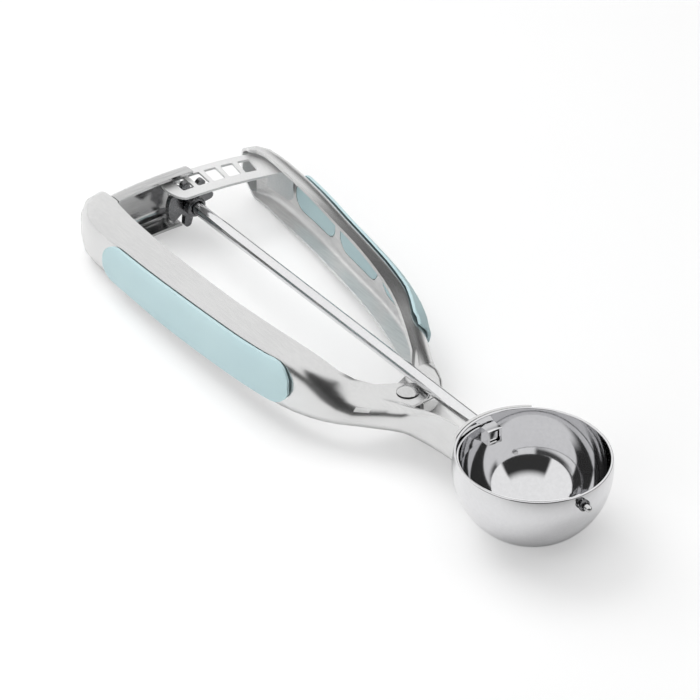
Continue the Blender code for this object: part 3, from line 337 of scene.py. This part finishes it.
SATIN = metal("satin_steel", grey(0.70, -0.003), grey(0.645), roughness=0.22, spread=0.07,
              stretch=LENGTHWAYS, grain=2400.0, relief=0.08)
INSIDE_STEEL = metal("inside_steel", grey(0.80, -0.005), grey(0.66), roughness=0.36, spread=0.12,
                     stretch=LENGTHWAYS, grain=1500.0, relief=0.07, metallic=0.6)
GUIDE_STEEL = metal("guide_steel", grey(0.58), grey(0.48), roughness=0.13, spread=0.08,
                    stretch=CROSSWAYS, grain=2200.0, relief=0.12)
RACK_STEEL = metal("rack_steel", grey(0.72), grey(0.65), roughness=0.42, spread=0.10,
                   stretch=EVEN, grain=2400.0, relief=0.15, metallic=0.5)
BRIGHT = metal("polished_steel", grey(0.80, 0.005), grey(0.76, 0.01), roughness=0.055, spread=0.03,
               stretch=EVEN, grain=900.0, relief=0.01)
BOWL_STEEL = metal("bowl_steel", grey(0.73, 0.01), grey(0.69, 0.01), roughness=0.06, spread=0.03,
                   stretch=EVEN, grain=900.0, relief=0.01)
SPRING_STEEL = metal("spring_steel", grey(0.62, 0.01), grey(0.50, 0.01), roughness=0.25, spread=0.10,
                     stretch=EVEN, grain=2600.0, relief=0.15)
RIVET_STEEL = metal("rivet_steel", grey(0.64), grey(0.56), roughness=0.12, spread=0.08,
                    stretch=EVEN, grain=1600.0, relief=0.10)
PINION_STEEL = metal("pinion_steel", grey(0.20, 0.005), grey(0.14, 0.005), roughness=0.26, spread=0.10,
                     stretch=EVEN, grain=1800.0, relief=0.15)
AQUA = rubber("aqua_rubber", (0.50, 0.66, 0.685, 1.0), (0.475, 0.635, 0.665, 1.0))


# Pieces

def build_bowl():
    """The ball-shaped bowl with a rounded rim, a rod hole and a pin hole."""
    deselect()
    bpy.ops.mesh.primitive_uv_sphere_add(segments=BALL_SEGMENTS, ring_count=BALL_RINGS,
                                         radius=BALL_RADIUS - BALL_WALL / 2.0)
    bowl = bpy.context.object
    bowl.name = "scoop_bowl"
    edit_all(bowl)
    bpy.ops.mesh.bisect(plane_co=(0.0, 0.0, RIM_HEIGHT), plane_no=(0.0, 0.0, 1.0), clear_outer=True)
    leave()
    apply_modifier(bowl, "SOLIDIFY", thickness=BALL_WALL, offset=0.0, use_even_offset=True)
    apply_modifier(bowl, "BEVEL", width=RIM_ROUNDING, segments=RIM_STEPS, limit_method="ANGLE",
                   angle_limit=math.radians(BOWL_CREASE))
    bowl.matrix_world = Matrix.Rotation(RIM_LEAN, 4, "Y")
    bpy.ops.object.transform_apply(location=True, rotation=True, scale=True)
    for radius, middle in ((ROD_HOLE_RADIUS, -BALL_RADIUS), (PIN_HOLE_RADIUS, BALL_RADIUS)):
        deselect()
        bpy.ops.mesh.primitive_cylinder_add(vertices=DRILL_SIDES, radius=radius, depth=DRILL_LENGTH,
                                            location=(middle, 0.0, 0.0), rotation=(0.0, math.pi / 2.0, 0.0))
        drill = bpy.context.object
        apply_modifier(bowl, "BOOLEAN", object=drill, operation="DIFFERENCE", solver="EXACT")
        bpy.data.objects.remove(drill, do_unlink=True)
    smooth(bowl, BOWL_CREASE)
    lay_down(bowl)
    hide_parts("bowl")
    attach(bowl, "scoop_frame")
    return bowl


def dress(piece, material):
    piece.data.materials.clear()
    piece.data.materials.append(material)
    return piece


def dull_inside(handle, outward):
    """The inside of a handle's channel keeps the press's duller face; outward is +1 or -1 along its Y."""
    handle.data.materials.append(INSIDE_STEEL)
    into_tool = TOOL.inverted()
    for face in handle.data.polygons:
        height = (into_tool @ face.center).z
        normal = into_tool.to_3x3() @ face.normal
        wall = normal.y * outward < -INNER_WALL
        floor = height < INNER_FLOOR_TOP and normal.z > INNER_LEVEL
        roof = height > 0.0 and normal.z < -INNER_LEVEL
        if wall or floor or roof:
            face.material_index = 1


def flex_spring(spring):
    """The spring's place is baked into its mesh. It rides with no body: its coil sits at the neck, and the leg
    that bears on the moving handle does not follow that handle.
    """
    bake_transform(spring)


# Each piece with how wide its edges are eased, in how many steps, its finish and its slot
HANDLE_EASING = (0.00016, 2)
FINISHES = (
    ("rack_guide", 0.00014, 2, GUIDE_STEEL, "satin_steel"),
    ("rack", 0.0001, 2, RACK_STEEL, "satin_steel"),
    ("star_pinion", 0.0001, 2, PINION_STEEL, "satin_steel"),
    ("pinion_collar", 0.0001, 2, PINION_STEEL, "satin_steel"),
    ("tip_collar", 0.00008, 2, PINION_STEEL, "satin_steel"),
    ("tip_pin", 0.00006, 2, RIVET_STEEL, "polished_steel"),
    ("pivot_rivet", 0.0001, 2, RIVET_STEEL, "satin_steel"),
    ("pivot_washer", 0.00008, 2, RIVET_STEEL, "satin_steel"),
    ("spring_spacer", 0.00006, 2, RIVET_STEEL, "satin_steel"),
    ("shaft_rod", 0.00006, 2, BRIGHT, "polished_steel"),
    ("wiper_band", 0.00006, 2, BRIGHT, "polished_steel"),
    ("fixed_grip_pad", 0.0003, 3, AQUA, "aqua_rubber"),
    ("moving_grip_pad", 0.0003, 3, AQUA, "aqua_rubber"),
)

dress(build_bowl(), BOWL_STEEL)
dull_inside(dress(dressed_copy("fixed_handle", *HANDLE_EASING), SATIN), -1.0)
dull_inside(dress(dressed_copy("moving_handle", *HANDLE_EASING), SATIN), 1.0)
for node, edge, rounds, material, slot in FINISHES:
    dress(dressed_copy(node, edge, rounds), material)
flex_spring(dress(dressed_copy("torsion_spring", 0.0, 0, rides=False), SPRING_STEEL))


# Table, light and camera

def facing(finish, way, azimuth, widths):
    """1 where a direction's level part is within the second angle of an azimuth, 0 outside the first one."""
    level = finish.node("ShaderNodeVectorMath", {"operation": "MULTIPLY"}, {0: way, 1: (1.0, 1.0, 0.0)})
    level = finish.node("ShaderNodeVectorMath", {"operation": "NORMALIZE"}, {0: level})
    aim = (math.cos(math.radians(azimuth)), math.sin(math.radians(azimuth)), 0.0)
    along = finish.node("ShaderNodeVectorMath", {"operation": "DOT_PRODUCT"}, {0: level, 1: aim},
                        output="Value")
    return finish.step(along, *(math.cos(math.radians(width)) for width in widths))


def build_table():
    """A white table. In the steel's mirror it is painted darker, a little near by and most of all far out: a
    painted reflection standing in for the dark room beyond it.
    """
    deselect()
    bpy.ops.mesh.primitive_plane_add(size=TABLE_SIZE, location=(0.0, 0.0, -TABLE_DROP))
    table = bpy.context.object
    table.name = "table"
    material, finish = new_finish("table_white")
    spot = finish.node("ShaderNodeTexCoord", output="Object")
    white = finish.blend(finish.noise(spot, TABLE_PATCHES), *(grey(tone) for tone in TABLE_TONES))
    reach = finish.node("ShaderNodeVectorMath", {"operation": "LENGTH"}, {0: spot}, output="Value")
    far = finish.step(reach, *TABLE_FAR) * (1.0 - facing(finish, spot, OPEN_SIDE, OPEN_WIDTHS))
    seen = finish.node("ShaderNodeLightPath", output="Is Camera Ray")
    mirrored = finish.node("ShaderNodeLightPath", output="Is Glossy Ray")
    # Painted reflection: the table's colour goes dark only in glossy rays, a little near by and much more far
    # out, away from the open side
    white_with_painted_reflection = finish.blend(mirrored * (TABLE_PAINTED_NEAR_SHARE + far * TABLE_PAINTED_FAR_SHARE), white, grey(TABLE_PAINTED_REFLECTION_TONE))
    paper = finish.node("ShaderNodeBsdfPrincipled", {}, {"Base Color": white_with_painted_reflection, "Roughness": TABLE_ROUGHNESS})
    glow = finish.node("ShaderNodeEmission", {}, {"Color": grey(1.0), "Strength": 1.0})
    mixed = finish.node("ShaderNodeMixShader", {}, {0: seen * TABLE_GLOW, 1: paper, 2: glow})
    finish.node("ShaderNodeOutputMaterial", {}, {"Surface": mixed})
    table.data.materials.append(material)


def build_studio():
    """What the steel mirrors: a white tent, a dark gap in front and a dark band low down, open at one side."""
    world = bpy.data.worlds.new("studio")
    bpy.context.scene.world = world
    world.use_nodes = True
    world.cycles_visibility.diffuse = False
    studio = Finish(world.node_tree)
    way = studio.node("ShaderNodeTexCoord", output="Generated")
    height = studio.node("ShaderNodeSeparateXYZ", {}, {0: way}, output=2)
    gap = facing(studio, way, FRONT, FRONT_WIDTHS) * studio.step(height, *FRONT_FOOT)
    gap = gap * (1.0 - studio.step(height, *FRONT_HEAD))
    low_band = (1.0 - studio.step(height, *BAND_HEAD)) * (1.0 - facing(studio, way, OPEN_SIDE, OPEN_WIDTHS))
    light = TENT_LIGHT * (1.0 - gap * FRONT_DIMMING) * (1.0 - low_band * BAND_DIMMING)
    seen = studio.node("ShaderNodeLightPath", output="Is Camera Ray")
    strength = light + seen * (1.0 - light)
    shader = studio.node("ShaderNodeBackground", {}, {"Color": grey(1.0), "Strength": strength})
    studio.node("ShaderNodeOutputWorld", {}, {"Surface": shader})


def add_softbox(name, place, size, watts):
    """A broad soft lamp that shapes the shadows but isn't mirrored in the steel."""
    data = bpy.data.lights.new(name, "AREA")
    data.shape = "SQUARE"
    data.size = size
    data.energy = watts
    lamp = bpy.data.objects.new(name, data)
    lamp.location = place
    lamp.visible_glossy = False
    lamp.rotation_euler = (-Vector(place)).to_track_quat("-Z", "Y").to_euler()
    bpy.context.scene.collection.objects.link(lamp)


def add_camera():
    turn, dip = VIEW_TURN, VIEW_DIP
    right = Vector((math.cos(turn), math.sin(turn), 0.0))
    up = Vector((-math.sin(turn) * math.sin(dip), math.cos(turn) * math.sin(dip), math.cos(dip)))
    ahead = Vector((-math.sin(turn) * math.cos(dip), math.cos(turn) * math.cos(dip), -math.sin(dip)))
    rolled_right = right * math.cos(VIEW_ROLL) + up * math.sin(VIEW_ROLL)
    rolled_up = up * math.cos(VIEW_ROLL) - right * math.sin(VIEW_ROLL)
    axes = Matrix((rolled_right, rolled_up, -ahead)).transposed()
    place = -(rolled_right * VIEW_OFFSET.x + rolled_up * VIEW_OFFSET.y + ahead * VIEW_OFFSET.z)
    data = bpy.data.cameras.new("view")
    data.sensor_width = SENSOR
    data.lens = FOCAL_PIXELS / FRAME_PIXELS * SENSOR
    camera = bpy.data.objects.new("view", data)
    camera.matrix_world = TOOL @ Matrix.Translation(place) @ axes.to_4x4()
    bpy.context.scene.collection.objects.link(camera)
    bpy.context.scene.camera = camera


build_table()
build_studio()
for lamp_name, (lamp_place, lamp_size, lamp_watts) in LAMPS.items():
    add_softbox(lamp_name, lamp_place, lamp_size, lamp_watts)
add_camera()
bpy.context.scene.view_settings.view_transform = "Standard"
